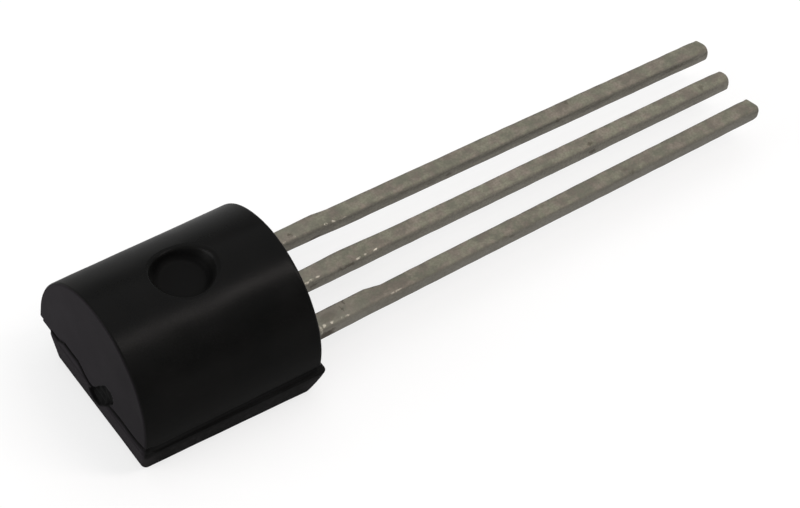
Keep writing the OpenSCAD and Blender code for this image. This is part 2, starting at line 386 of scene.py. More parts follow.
def meet(a, b, r):
    """What two solids share, with the edge between them rounded."""
    return np.minimum(np.maximum(a, b), -r) + np.hypot(np.maximum(a + r, 0), np.maximum(b + r, 0))


def join(a, b, r):
    """Two solids together, with the corner between them filled."""
    return np.maximum(np.minimum(a, b), r) - np.hypot(np.maximum(r - a, 0), np.maximum(r - b, 0))


def ease(share):
    """A share from 0 to 1 that starts and ends gently."""
    share = np.clip(share, 0, 1)
    return share * share * (3 - 2 * share)


def ripple(points, wavelength, seed, terms=7):
    """Smooth unevenness between about -1 and 1."""
    draw = np.random.default_rng(seed)
    total = 0
    for _ in range(terms):
        heading = draw.normal(size=3)
        pace = TURN / (wavelength * draw.uniform(0.6, 1.5) * np.linalg.norm(heading))
        total = total + np.sin(points @ heading * pace + draw.uniform(0, TURN))
    return total * math.sqrt(2 / terms) / 2


def parting(points):
    """Height where the flat half ends, and height of the groove above it."""
    x, y, _ = np.moveaxis(points, -1, 0)
    end = ease((X_CLOSED + END_REACH - x) / (END_REACH - GROOVE_DEPTH))
    wave = SEAM_WAVE * ripple(points * (1, 1, 0), SEAM_WAVE_LEN, seed=3)
    rise = np.interp(y, END_LINE_Y, END_LINE_RISE) - END_GROOVE_H / 2
    groove = GROOVE_H + GROOVE_RISE * ease((X_EXIT - x) / BODY_LEN)
    return Z_PART + wave + end * rise, groove + end * (END_GROOVE_H - groove)


def round_half(x, y, z, seam, groove):
    """The half with the round back, on straight walls that step in at the parting line."""
    profile = np.where(z > Z_ARC, np.hypot(y, z - Z_ARC), np.abs(y)) - ROUND_R
    profile = profile + FAR_TAPER * ease((x - X_CLOSED) / BODY_LEN) * ease(y / ROUND_R)
    fall = np.clip((Z_CREST - z) / (Z_CREST - Z_PART), 0, 1)
    closed = X_CLOSED - CLOSED_LEAN * fall - x
    leads = x - X_EXIT - LEAD_OUT + LEAD_LEAN * (1 - fall)
    shell = meet(profile, np.maximum(closed, leads), RIM_R)
    walls = meet(shell, seam + groove - z, WALL_EDGE_R)
    foot = np.maximum(shell + GROOVE_DEPTH, Z_PART - z)
    return np.minimum(walls, foot)


def flat_half(x, y, z, seam):
    """The half with the flat face, drafted on all four sides."""
    rise = np.clip(z / Z_PART, 0, 1)
    aside = y + HALF_SHIFT + FLAT_TURN * (x - X_MIDDLE)
    sides = np.abs(aside) - (FLAT_W + (FLAT_TOP_W - FLAT_W) * rise) / 2
    closed = X_CLOSED + CLOSED_SLOPE * (1 - rise) - CLOSED_LEAN * rise - x
    leads = x - X_EXIT - LIP + (LIP + LEAD_SLOPE) * (1 - rise) ** LEAD_SWELL
    block = meet(sides, np.maximum(closed, leads), FLAT_CORNER_R)
    block = meet(block, -z, FLAT_EDGE_R)
    return meet(block, z - seam, WALL_EDGE_R)


def ejector_mark(x, y, z):
    """The round recess with a sloping wall on the crest."""
    flare = (MARK_R - MARK_FLOOR_R) / MARK_DEPTH
    up = z - Z_CREST + MARK_DEPTH
    wall = (np.hypot(x - X_MIDDLE, y - MARK_Y) - MARK_FLOOR_R - flare * up) / math.hypot(1, flare)
    return meet(wall, -up, MARK_FOOT_R)


def gate_mark(points):
    """The broken recess that leans across the closed end's parting line."""
    x, y, z = np.moveaxis(points, -1, 0)
    aside, up = y - GATE_Y, z - Z_PART - GATE_RISE
    along = math.cos(GATE_LEAN) * up - math.sin(GATE_LEAN) * aside
    across = math.cos(GATE_LEAN) * aside + math.sin(GATE_LEAN) * up
    rough = GATE_WAVE * ripple(points, GATE_WAVE_LEN, seed=8)
    slot = np.hypot(np.maximum(np.abs(along) - GATE_HALF_LEN + GATE_HALF_W, 0), across) - GATE_HALF_W
    return meet(slot + rough, x - X_CLOSED - GATE_DEPTH + 2 * rough, GATE_EDGE_R)


def body_distance(points):
    """Distance to the body's surface, below zero inside."""
    x, y, z = np.moveaxis(points, -1, 0)
    seam, groove = parting(points)
    moulding = join(round_half(x, y, z, seam, groove), flat_half(x, y, z, seam), SEAM_BLEND)
    beyond = ease(0.5 + (x - X_MIDDLE + y - MARK_Y) / MARK_R / 2)
    edge = MARK_SHARP_R + (MARK_EDGE_R - MARK_SHARP_R) * beyond
    moulding = meet(moulding, -ejector_mark(x, y, z), edge)
    moulding = meet(moulding, -gate_mark(points), GATE_EDGE_R)
    return moulding + SKIN_WAVE * ripple(points, SKIN_WAVE_LEN, seed=5)


def slope_of(distance, points):
    """Direction in which the distance grows fastest."""
    probe = min(BODY_STEP) / 10
    steps = [distance(points + probe * axis) - distance(points - probe * axis) for axis in np.eye(3)]
    slope = np.stack(steps, -1)
    return slope / np.maximum(np.linalg.norm(slope, axis=-1, keepdims=True), 1e-9)


def settle(distance, points, passes):
    """Points moved on to the surface."""
    for _ in range(passes):
        points = points - distance(points)[..., None] * slope_of(distance, points)
    return points


def surface_net(distance, low, high, step):
    """Points and four-sided faces of the surface where the distance is zero, one point to each grid cell."""
    step = np.array(step)
    low = np.array(low)
    counts = np.ceil((np.array(high) - low) / step).astype(int) + 1
    xs, ys, zs = (low[k] + step[k] * np.arange(counts[k]) for k in range(3))
    slices = (np.stack(np.meshgrid([x], ys, zs, indexing="ij"), -1) for x in xs)
    values = np.concatenate([distance(points) for points in slices])
    corners = [np.array([i, j, k]) for i in (0, 1) for j in (0, 1) for k in (0, 1)]
    cells = counts - 1
    held = [values[i:i + cells[0], j:j + cells[1], k:k + cells[2]] for i, j, k in corners]
    inside = sum((part < 0).astype(int) for part in held)
    busy = (inside > 0) & (inside < len(corners))
    number = np.full(cells, -1)
    number[busy] = np.arange(busy.sum())
    at = np.argwhere(busy)
    heights = np.stack([part[busy] for part in held], -1)
    total = np.zeros((len(at), 3))
    hits = np.zeros((len(at), 1))
    for a, start in enumerate(corners):
        for b, end in enumerate(corners):
            if (end - start).sum() == 1 and (end >= start).all():
                crossed = ((heights[:, a] < 0) != (heights[:, b] < 0))[:, None]
                share = heights[:, a] / np.where(crossed[:, 0], heights[:, a] - heights[:, b], 1)
                total += crossed * (start + share[:, None] * (end - start))
                hits += crossed
    points = low + (at + total / hits) * step
    return points, net_faces(values, number)


def net_faces(values, number):
    """Faces round each grid line that the surface crosses."""
    faces = []
    for axis in range(3):
        side, up = (axis + 1) % 3, (axis + 2) % 3
        near = np.moveaxis(values, (axis, side, up), (0, 1, 2))
        cell = np.moveaxis(number, (axis, side, up), (0, 1, 2))
        enters, leaves = near[:-1, 1:-1, 1:-1] < 0, near[1:, 1:-1, 1:-1] < 0
        ring = [cell[:, :-1, :-1], cell[:, 1:, :-1], cell[:, 1:, 1:], cell[:, :-1, 1:]]
        for crossed, order in ((enters & ~leaves, ring), (leaves & ~enters, ring[::-1])):
            faces.append(np.stack([part[crossed] for part in order], -1))
    return np.concatenate(faces)


def relax(points, faces):
    """Points moved halfway to the middle of their neighbours, so that the faces even out."""
    total = np.zeros_like(points)
    count = np.zeros((len(points), 1))
    for a in range(4):
        for b in ((a + 1) % 4, (a + 3) % 4):
            np.add.at(total, faces[:, a], points[faces[:, b]])
            np.add.at(count, faces[:, a], 1)
    return (points + total / count) / 2


# Making pieces

def new_piece(name, points, faces, node):
    """A mesh piece that stands for a solid and moves with the part."""
    mesh = bpy.data.meshes.new(name)
    mesh.from_pydata((np.asarray(points) * MM).tolist(), [], [list(map(int, face)) for face in faces])
    mesh.validate()
    piece = bpy.data.objects.new(name, mesh)
    bpy.context.scene.collection.objects.link(piece)
    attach(piece, "root")
    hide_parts(node)
    return piece


def make_body():
    """The epoxy moulding."""
    margin = 3 * max(BODY_STEP)
    points, faces = surface_net(
        body_distance, np.array(BODY_LOW) - margin, np.array(BODY_HIGH) + margin, BODY_STEP)
    points = settle(body_distance, points, passes=2)
    for _ in range(RELAX_PASSES):
        points = settle(body_distance, relax(points, faces), passes=1)
    points[:, 2] = np.maximum(points[:, 2], 0)
    piece = new_piece("moulded_body", points, faces, "body")
    piece.data.shade_smooth()
    piece.data.normals_split_custom_set_from_vertices(slope_of(body_distance, points).tolist())
    return piece


def rounded_ring(near, far, low, high, far_r, near_r, steps=5):
    """Section of a lead, counter-clockwise from its lower near corner, with the radii of its top edges."""
    corners = (
        (near, low, 1, 1, LOW_NEAR_R),
        (far, low, -1, 1, LOW_FAR_R),
        (far, high, -1, -1, far_r),
        (near, high, 1, -1, near_r),
    )
    fit = (high - low) / LEAD_T
    ring = []
    for quarter, (y, z, y_in, z_in, r) in enumerate(corners):
        for i in range(steps + 1):
            turn = math.pi * (1 + quarter / 2 + i / steps / 2)
            ring.append((y + fit * r * (y_in + math.cos(turn)), z + fit * r * (z_in + math.sin(turn))))
    return ring


def lead_stations(i, x_tip):
    """Places along a lead where its outline bends, with its reach to the far side and the near side there."""
    half = LEAD_W / 2
    x_root = X_EXIT + ROOT_LENS[i]
    x_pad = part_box(LEAD_NAMES[i])[0].x / MM
    x_neck = x_pad + PAD_LENS[i]
    pad = PAD_WIDTHS[i] / 2
    exit_far = half + EXIT_FAR_SHARES[i] * LEAD_W
    exit_near = half + EXIT_NEAR_SHARES[i] * LEAD_W
    return (
        (x_pad, pad, pad),
        (x_neck, pad, pad),
        (x_neck, exit_far, exit_near),
        (X_EXIT, exit_far, exit_near),
        (x_root, half + ROOT_FAR_SHARES[i] * LEAD_W, half + ROOT_NEAR_SHARES[i] * LEAD_W),
        (x_root + ROOT_TAPER * TAPER_SHARES[i], half + FAR_GROWTH[i][0], half + NEAR_GROWTH[i][0]),
        (x_tip, half + FAR_GROWTH[i][1], half + NEAR_GROWTH[i][1]),
    )


def lead_cuts(stations, tip_r):
    """Places along a lead that get a ring, each with the station before it."""
    x_tip = stations[-1][0]
    cuts = []
    for k, (here, after) in enumerate(zip(stations, stations[1:])):
        if here[0] == after[0]:
            continue
        count = math.ceil((after[0] - here[0]) / RING_GAP)
        closes = k + 2 < len(stations) and stations[k + 2][0] == after[0]
        cuts += [(k, x) for x in np.linspace(here[0], after[0], count + 1)[:count + closes]]
    turns = np.linspace(0, math.pi / 2, TIP_CUTS)
    cuts = [cut for cut in cuts if cut[1] < x_tip - tip_r - RING_GAP / 2]
    return cuts + [(len(stations) - 2, x_tip - tip_r * (1 - math.sin(turn))) for turn in turns]


def roll_off(r, left):
    """How far a rounded edge has drawn in, that far from the tip."""
    short = max(0.0, r - left)
    return r - math.sqrt(r * r - short * short)


def edge_wander(x, i, side):
    """Unevenness of a lead's cut edge."""
    here = np.array([x, 0.0, float(i)])
    loose = min(1.0, max(0.0, x - X_EXIT) / ROOT_TAPER)
    fine = EDGE_WAVE * ripple(here, EDGE_WAVE_LEN, seed=20 + 2 * i + side)
    return loose * (fine + EDGE_BOW * ripple(here, EDGE_BOW_LEN, seed=40 + 2 * i + side))


def make_lead(i):
    """One stamped lead with the pad on its inner end."""
    name = LEAD_NAMES[i]
    x_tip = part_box(name)[1].x / MM + TIP_REACHES[i]
    stations = lead_stations(i, x_tip)
    points, across, height = [], [], []
    cuts = lead_cuts(stations, max(TIP_TOP_R, TIP_LOW_R[i]))
    for k, x in cuts:
        start, end = stations[k], stations[k + 1]
        share = (x - start[0]) / (end[0] - start[0])
        left = x_tip - x
        middle = LEAD_PLACES[i] * (LEAD_PITCH - TOE_IN * max(0.0, x - X_EXIT))
        far = middle + start[1] + share * (end[1] - start[1]) + edge_wander(x, i, 0)
        near = middle - start[2] - share * (end[2] - start[2]) + edge_wander(x, i, 1)
        close = max(0.0, 1 - left / LEAD_W)
        soft = float(ease(1 - left / TIP_FADE))
        ring = rounded_ring(
            near + roll_off(TIP_NEAR_R[i], left),
            far - roll_off(TIP_FAR_R[i], left),
            Z_PART + roll_off(TIP_LOW_R[i], left),
            Z_LEAD_TOP - roll_off(TIP_TOP_R, left),
            TOP_FAR_R * (1 + TIP_FAR_SOFT * soft),
            TOP_NEAR_R * (1 + TIP_NEAR_SOFT[i] * soft))
        places = [2 * (y - near) / (far - near) - 1 for y, z in ring]
        points += [
            (x - close * (TIP_SLANTS[i] * (1 + place) / 2 + TIP_BULGE * place * place), y, z)
            for place, (y, z) in zip(places, ring)
        ]
        across += places
        height += [(z - Z_PART) / LEAD_T for y, z in ring]
    count = len(points) // len(cuts)
    faces = [
        (a * count + b, a * count + (b + 1) % count, (a + 1) * count + (b + 1) % count, (a + 1) * count + b)
        for a in range(len(cuts) - 1)
        for b in range(count)
    ]
    faces.append(tuple(range(count))[::-1])
    faces.append(tuple(range(len(points) - count, len(points))))
    piece = new_piece("stamped_" + name, points, faces, name)
    piece.data.shade_smooth()
    piece.data.set_sharp_from_angle(angle=SHARP_ANGLE)
    for key, values in (("across", across), ("height", height)):
        piece.data.attributes.new(key, "FLOAT", "POINT").data.foreach_set("value", values)
    return piece


# Materials

def put(tree, kind, sockets=None, **settings):
    """A shader node with its settings, and its inputs set or linked."""
    made = tree.nodes.new("ShaderNode" + kind)
    for key, value in settings.items():
        setattr(made, key, value)
    for key, value in (sockets or {}).items():
        feed(tree, made.inputs[key], value)
    return made


def feed(tree, socket, value):
    """Links a socket to another one, or sets it."""
    if isinstance(value, bpy.types.NodeSocket):
        tree.links.new(value, socket)
    else:
        socket.default_value = value


def new_material(name):
    """A material with one principled shader."""
    made = bpy.data.materials.new(name)
    made.use_nodes = True
    tree = made.node_tree
    tree.nodes.clear()
    shader = put(tree, "BsdfPrincipled")
    put(tree, "OutputMaterial", {"Surface": shader.outputs["BSDF"]})
    return made, tree, shader


def dress(tree, shader, **sockets):
    """Sets or links the shader's sockets."""
    for key, value in sockets.items():
        feed(tree, shader.inputs[key.replace("_", " ")], value)


def millimetres(tree, stretch=(1, 1, 1)):
    """Places on the part in millimetres, closer together along an axis whose stretch is large."""
    place = put(tree, "TexCoord").outputs["Object"]
    return put(tree, "Mapping", {"Vector": place, "Scale": [s / MM for s in stretch]}).outputs["Vector"]


def coordinate(tree, axis):
    """Places along one axis, in millimetres."""
    return put(tree, "SeparateXYZ", {"Vector": millimetres(tree)}).outputs[axis]


def facing(tree, axis):
    """How much the surface faces along one axis, from -1 to 1."""
    normal = put(tree, "TexCoord").outputs["Normal"]
    return put(tree, "SeparateXYZ", {"Vector": normal}).outputs[axis]


def noise(tree, where, scale, detail=3.0, roughness=0.55, output="Fac"):
    """Cloudy variation from 0 to 1, with that many clouds to a millimetre."""
    sockets = {"Vector": where, "Scale": scale, "Detail": detail, "Roughness": roughness}
    return put(tree, "TexNoise", sockets).outputs[output]


def spread(tree, value, low, high, to_low=0.0, to_high=1.0):
    """The value's range from low to high, spread smoothly over another range."""
    sockets = {"Value": value, "From Min": low, "From Max": high, "To Min": to_low, "To Max": to_high}
    return put(tree, "MapRange", sockets, interpolation_type="SMOOTHSTEP").outputs["Result"]


def varied(tree, cloud, low=0.0, high=1.0):
    """Cloudy variation spread over another range."""
    return spread(tree, cloud, *CLOUD_RANGE, low, high)


def mix_of(tree, operation, *values):
    """Values put together one after another."""
    total = values[0]
    for value in values[1:]:
        made = put(tree, "Math", operation=operation)
        feed(tree, made.inputs[0], total)
        feed(tree, made.inputs[1], value)
        total = made.outputs["Value"]
    return total


def size_of(tree, value):
    """A value without its sign."""
    return mix_of(tree, "ABSOLUTE", value, 0.0)


def band(tree, value, start, full, still_full, end):
    """How much a value lies in a band that fades at both edges."""
    return mix_of(tree, "MULTIPLY", spread(tree, value, start, full), spread(tree, value, end, still_full))


def vector_of(tree, operation, a, b=(0, 0, 0), output="Vector"):
    """Two vectors put together."""
    made = put(tree, "VectorMath", operation=operation)
    feed(tree, made.inputs[0], a)
    feed(tree, made.inputs[1], b)
    return made.outputs[output]


def blend(tree, share, a, b):
    """One colour fading into another."""
    made = put(tree, "Mix", data_type="RGBA")
    for socket, value in zip((made.inputs[0], made.inputs[6], made.inputs[7]), (share, a, b)):
        feed(tree, socket, (*value, 1.0) if isinstance(value, tuple) else value)
    return made.outputs[2]


def attribute(tree, name):
    """A value kept with the mesh."""
    return put(tree, "Attribute", attribute_name=name).outputs["Fac"]


def relief(tree, height, strength, depth):
    """The surface's direction, tilted by fine relief."""
    sockets = {"Strength": strength, "Distance": depth * MM, "Height": height}
    return put(tree, "Bump", sockets).outputs["Normal"]


# Places on the epoxy, and what covers them

def above_parting(tree):
    """Height above the parting plane."""
    return mix_of(tree, "SUBTRACT", coordinate(tree, "Z"), Z_PART)


def to_end(tree):
    """Distance from the nearer end of the body."""
    from_middle = size_of(tree, mix_of(tree, "SUBTRACT", coordinate(tree, "X"), X_MIDDLE))
    return mix_of(tree, "SUBTRACT", BODY_LEN / 2, from_middle)


def from_mark(tree):
    """The way to each place from the ejector mark's middle."""
    return vector_of(tree, "SUBTRACT", millimetres(tree), (X_MIDDLE, MARK_Y, 0))


def side_cover(tree):
    """How much each place lies on the long sides."""
    return spread(tree, size_of(tree, facing(tree, "Y")), *SIDE_FACING)


def end_cover(tree):
    """How much each place lies on the closed end or the lead end."""
    turned = spread(tree, size_of(tree, facing(tree, "X")), *END_FACING)
    return mix_of(tree, "MULTIPLY", turned, spread(tree, to_end(tree), *END_FADE))


def crest_shade_cover(tree):
    """How much painted shade darkens the top of the round back."""
    turned = spread(tree, facing(tree, "Z"), *CREST_FACING, 0.0, CREST_SHADE_SHARE)
    return mix_of(tree, "MULTIPLY", turned, spread(tree, coordinate(tree, "Z"), *CREST_RISE))


def mark_cover(tree):
    """How much each place lies in the ejector mark."""
    away = vector_of(tree, "MULTIPLY", from_mark(tree), (1, 1, 0))
    away = vector_of(tree, "LENGTH", away, output="Value")
    return mix_of(
        tree, "MULTIPLY", spread(tree, away, *MARK_FADE), spread(tree, coordinate(tree, "Z"), *MARK_RISE))


def mark_wall_shade_cover(tree):
    """How much painted shade darkens the ejector mark's wall towards the lead end and the far side, and
    faintly its floor.
    """
    beyond = vector_of(tree, "DOT_PRODUCT", from_mark(tree), (1, 1, 0), output="Value")
    return mix_of(
        tree, "MULTIPLY", mark_cover(tree), WALL_SHADE_SHARE,
        spread(tree, facing(tree, "Z"), *WALL_FACING, MARK_FLOOR_SHADE_SHARE, 1.0),
        spread(tree, beyond, *MARK_BEYOND))


def gate_cover(tree):
    """How much each place lies in the gate mark or on its edge."""
    gap = vector_of(tree, "SUBTRACT", millimetres(tree), (X_CLOSED, GATE_Y, Z_PART + GATE_RISE))
    sine, cosine = math.sin(GATE_LEAN), math.cos(GATE_LEAN)
    length = vector_of(tree, "DOT_PRODUCT", gap, (0, -sine, cosine), output="Value")
    across = vector_of(tree, "DOT_PRODUCT", gap, (0, cosine, sine), output="Value")
    deep = vector_of(tree, "DOT_PRODUCT", gap, (1, 0, 0), output="Value")
    past = mix_of(tree, "SUBTRACT", size_of(tree, length), GATE_HALF_LEN - GATE_HALF_W)
    away = put(tree, "CombineXYZ", {"X": mix_of(tree, "MAXIMUM", past, 0.0), "Y": across}).outputs["Vector"]
    away = vector_of(tree, "LENGTH", away, output="Value")
    return mix_of(tree, "MULTIPLY", spread(tree, away, *GATE_FADE), spread(tree, deep, *GATE_REACH))


def pale_low_cover(tree):
    """How much each place is paler below the parting line: in patches, and at the ends of the sides."""
    patches = noise(tree, millimetres(tree), scale=6.0, detail=4.0, roughness=0.65)
    patches = spread(tree, patches, *PALE_LOW_RANGE, 0.0, PALE_LOW_SHARE)
    corners = mix_of(
        tree, "MULTIPLY", spread(tree, to_end(tree), *CORNER_FADE, 0.0, CORNER_SHARE), side_cover(tree))
    return mix_of(
        tree, "MULTIPLY", mix_of(tree, "MAXIMUM", patches, corners),
        spread(tree, above_parting(tree), *PALE_LOW_FALL),
        spread(tree, facing(tree, "Z"), *FLAT_FACING, 1.0, FLAT_SHARE))


def shade_cover(tree):
    """How much each side is shaded just below the parting line, most of all next to the closed end."""
    return mix_of(
        tree, "MULTIPLY", side_cover(tree), spread(tree, coordinate(tree, "X"), *SHADE_SPAN, *SHADE_SHARES),
        band(tree, above_parting(tree), *SHADE_BAND))


def groove_light_cover(tree):
    """How much painted light brightens each place low in the groove or on the ledge under it, next to the
    lead end.
    """
    ledge = spread(tree, facing(tree, "Z"), *LEDGE_FACING)
    return mix_of(
        tree, "MULTIPLY", mix_of(tree, "MAXIMUM", side_cover(tree), ledge),
        spread(tree, coordinate(tree, "X"), *GROOVE_SPAN), band(tree, above_parting(tree), *GROOVE_BAND))


def eave_shade_cover(tree):
    """How much painted shade darkens the upper part of the groove."""
    return mix_of(tree, "MULTIPLY", side_cover(tree), EAVE_SHADE_SHARE, band(tree, above_parting(tree), *EAVE_BAND))


# Finish of the epoxy

def epoxy_cloud(tree):
    """Slow variation of the epoxy."""
    return noise(tree, millimetres(tree), scale=0.9)


def epoxy_grain(tree):
    """Fine grain of the epoxy."""
    return noise(tree, millimetres(tree), scale=22.0, detail=4.0, roughness=0.65)


def back_tone(tree):
    """Colour of the round back, with painted shade on its crest and on the ejector mark's wall."""
    tone = blend(tree, varied(tree, epoxy_cloud(tree)), *EPOXY_BACK)
    # Painted shade on the crest
    tone = blend(tree, crest_shade_cover(tree), tone, EPOXY_CREST_SHADE)
    # Painted shade on the ejector mark's wall
    return blend(tree, mark_wall_shade_cover(tree), tone, EPOXY_DEEP_SHADE)


def end_tone(tree):
    """Colour of the matt ends, with painted light that makes them paler towards the far side and palest below
    the parting line.
    """
    dust = spread(tree, epoxy_grain(tree), *SPECK_RANGE)
    near = blend(tree, dust, *EPOXY_NEAR_END)
    far = blend(tree, dust, *EPOXY_FAR_END_LIT)
    low = blend(tree, dust, *EPOXY_LOW_END_LIT)
    tone = blend(tree, spread(tree, coordinate(tree, "Y"), *END_SPAN), near, far)
    return blend(tree, spread(tree, above_parting(tree), *END_LOW), tone, low)


def epoxy_tone(tree):
    """Colour of the whole moulding."""
    tone = blend(tree, end_cover(tree), back_tone(tree), end_tone(tree))
    tone = blend(tree, pale_low_cover(tree), tone, EPOXY_PALE_LOW)
    tone = blend(tree, shade_cover(tree), tone, EPOXY_SHADE)
    # Painted light low in the groove and on the ledge
    tone = blend(tree, groove_light_cover(tree), tone, EPOXY_GROOVE_LIGHT)
    # Painted shade in the upper part of the groove
    tone = blend(tree, eave_shade_cover(tree), tone, EPOXY_DEEP_SHADE)
    scuff = noise(tree, millimetres(tree, SCUFF_STRETCH), scale=3.0, detail=6.0, roughness=0.7)
    tone = blend(tree, spread(tree, scuff, *SCUFF_RANGE, 0.0, SCUFF_SHARE), tone, EPOXY_SCUFF)
    # Painted shade in the gate mark and on its edge
    return blend(tree, mix_of(tree, "MULTIPLY", gate_cover(tree), GATE_SHADE_SHARE), tone, EPOXY_GATE_SHADE)


def epoxy_roughness(tree):
    """Roughness of the whole moulding: smoothest on the back next to the lead end."""
    dulled = mix_of(
        tree, "MAXIMUM",
        mix_of(tree, "MULTIPLY", end_cover(tree), END_DULL),
        mix_of(tree, "MULTIPLY", mark_cover(tree), MARK_DULL),
        mix_of(tree, "MULTIPLY", gate_cover(tree), GATE_DULL),
        spread(tree, facing(tree, "Z"), *DOWN_FACING, 0.0, DOWN_DULL),
        spread(tree, facing(tree, "Y"), *FAR_FACING, 0.0, FAR_DULL),
        spread(tree, facing(tree, "Y"), *NEAR_FACING, 0.0, NEAR_DULL),
        spread(tree, above_parting(tree), *LOW_FALL, 0.0, LOW_DULL))
    return mix_of(
        tree, "ADD",
        spread(tree, coordinate(tree, "X"), X_CLOSED, X_EXIT, *BACK_ROUGH),
        varied(tree, epoxy_cloud(tree), *CLOUD_ROUGH),
        varied(tree, epoxy_grain(tree), *GRAIN_ROUGH),
        dulled)


def epoxy_material():
    """Black moulding compound: satin on the back, matter on its flanks, matt on the ends, which are paler for
    their finish and by painted light.
    """
    made, tree, shader = new_material("epoxy")
    dress(
        tree, shader, Base_Color=epoxy_tone(tree), Roughness=epoxy_roughness(tree), Specular_IOR_Level=0.04,
        Normal=relief(tree, epoxy_grain(tree), *EPOXY_RELIEF))
    return made


# Finish of the leads

def from_body(tree):
    """Distance along a lead from the body."""
    return mix_of(tree, "SUBTRACT", coordinate(tree, "X"), X_EXIT)


def around_lead(tree):
    """Places on a straightened lead: distance from the body, place across and height."""
    return put(tree, "CombineXYZ", {
        "X": from_body(tree),
        "Y": mix_of(tree, "MULTIPLY", attribute(tree, "across"), LEAD_W / 2),
        "Z": mix_of(tree, "MULTIPLY", attribute(tree, "height"), LEAD_T)}).outputs["Vector"]


def shear_cover(tree):
    """How much each place lies on a lead's sheared sides."""
    return spread(tree, size_of(tree, facing(tree, "Y")), *SHEAR_FACING)


def tin_mottle(tree):
    """Patches on a lead."""
    return noise(tree, millimetres(tree), scale=3.0, detail=5.0, roughness=0.6)


def tin_streak(tree):
    """Streaks along a lead."""
    return noise(tree, millimetres(tree, STREAK_STRETCH), scale=2.0)


def tin_speck(tree):
    """Fine grain on a lead."""
    return noise(tree, millimetres(tree), scale=18.0)


def brighter(colours, gain):
    """Colours made that many times as bright."""
    return [tuple(gain * channel for channel in colour) for colour in colours]


def lead_spots(tree, marks, ragged):
    """How much the marks cover each place on a lead, with edges that are ragged by about that much."""
    shake = noise(tree, millimetres(tree), scale=10.0, output="Color")
    shake = vector_of(tree, "SUBTRACT", shake, (0.5, 0.5, 0.5))
    shake = vector_of(tree, "MULTIPLY", shake, (ragged, ragged, ragged))
    place = vector_of(tree, "ADD", around_lead(tree), shake)
    covers = []
    for out, aside, up, length, girth, strength in marks:
        gap = vector_of(tree, "SUBTRACT", place, (out, aside, up))
        reach = vector_of(tree, "DIVIDE", gap, (length, girth, girth))
        gone = vector_of(tree, "LENGTH", reach, output="Value")
        covers.append(spread(tree, gone, 1.0, SPOT_CORE, 0.0, strength))
    return mix_of(tree, "MAXIMUM", *covers)


def fleck_cover(tree, i):
    """How much burnished flecks cover each place on a lead."""
    grain = spread(tree, tin_speck(tree), *FLECK_RANGE)
    return mix_of(tree, "MULTIPLY", lead_spots(tree, FLECKS[i], FLECK_RAGGED), grain)


def edge_shade_cover(tree, i):
    """How much painted shade darkens a lead at its far edge, at its low edge and in a line along its sides.
    """
    across, height = attribute(tree, "across"), attribute(tree, "height")
    side = shear_cover(tree)
    ragged = spread(tree, tin_speck(tree), *SPECK_RANGE, -EDGE_RAGGED, EDGE_RAGGED)
    far_edge = spread(tree, mix_of(tree, "ADD", across, ragged), *FAR_EDGE)
    low_edge = spread(tree, mix_of(tree, "ADD", height, ragged), *LOW_EDGE)
    line = mix_of(
        tree, "MULTIPLY", side, LINE_SHADE_DEPTHS[i], spread(tree, from_body(tree), *LINE_GROWTH, *LINE_SHARES),
        band(tree, height, *LINE_BAND), spread(tree, tin_streak(tree), *LINE_RANGE))
    dim = mix_of(tree, "MAXIMUM", far_edge, mix_of(tree, "MULTIPLY", side, low_edge), line)
    return mix_of(tree, "MULTIPLY", dim, EDGE_SHADE_SHARE)


def metal_tone(tree, i):
    """Colour of a lead's metal: mottled on top, streaked on the sheared sides, with painted light next to the
    body and on each lead.
    """
    patches = spread(tree, tin_mottle(tree), *PATCH_RANGE)
    tint = noise(tree, vector_of(tree, "ADD", millimetres(tree), TINT_SHIFT), scale=3.5)
    # Painted light: each lead's own gains even out how the leads are lit
    warm = blend(tree, patches, *brighter(TIN_WARM, TOP_LIGHT_GAINS[i]))
    green = blend(tree, patches, *brighter(TIN_GREEN, TOP_LIGHT_GAINS[i]))
    top = blend(tree, spread(tree, tint, *TINT_RANGE), warm, green)
    shear = blend(tree, varied(tree, tin_streak(tree)), *brighter(TIN_SHEAR, SIDE_LIGHT_GAINS[i]))
    tone = blend(tree, shear_cover(tree), top, shear)
    tone = blend(tree, spread(tree, tin_speck(tree), *SPECK_RANGE, 0.0, SPECK_SHARE), tone, TIN_SPECK)
    # Painted light next to the body
    return blend(tree, spread(tree, from_body(tree), *ROOT_LIGHT_FADE, 0.0, ROOT_LIGHT_SHARE), tone, TIN_ROOT_LIGHT)


def lead_material(i):
    """Tinned copper alloy: dull and mottled, with painted shade along its edges and burnished flecks on the
    near ridge painted bright as glints.
    """
    made, tree, shader = new_material("tinned_" + LEAD_NAMES[i])
    fleck = fleck_cover(tree, i)
    # Painted shade along the lead's edges and in a line along its sides
    tone = blend(tree, edge_shade_cover(tree, i), metal_tone(tree, i), TIN_EDGE_SHADE)
    # Stains, with painted shade low on the near side next to the body
    tone = blend(tree, lead_spots(tree, STAINS_AND_SHADE[i], STAIN_AND_SHADE_RAGGED), tone, TIN_STAIN_AND_SHADE)
    # The flecks' bright colour is a painted glint
    tone = blend(tree, fleck, tone, TIN_FLECK_GLINT)
    worn = mix_of(
        tree, "ADD",
        varied(tree, tin_mottle(tree), *TIN_ROUGH),
        varied(tree, tin_streak(tree), *STREAK_ROUGH),
        mix_of(tree, "MULTIPLY", fleck, FLECK_POLISH))
    height = mix_of(tree, "MULTIPLY", mix_of(tree, "ADD", tin_streak(tree), tin_speck(tree)), 0.5)
    dress(
        tree, shader, Base_Color=tone, Metallic=0.3, Roughness=worn,
        Normal=relief(tree, height, *TIN_RELIEF))
    return made


# Finish of the pieces inside

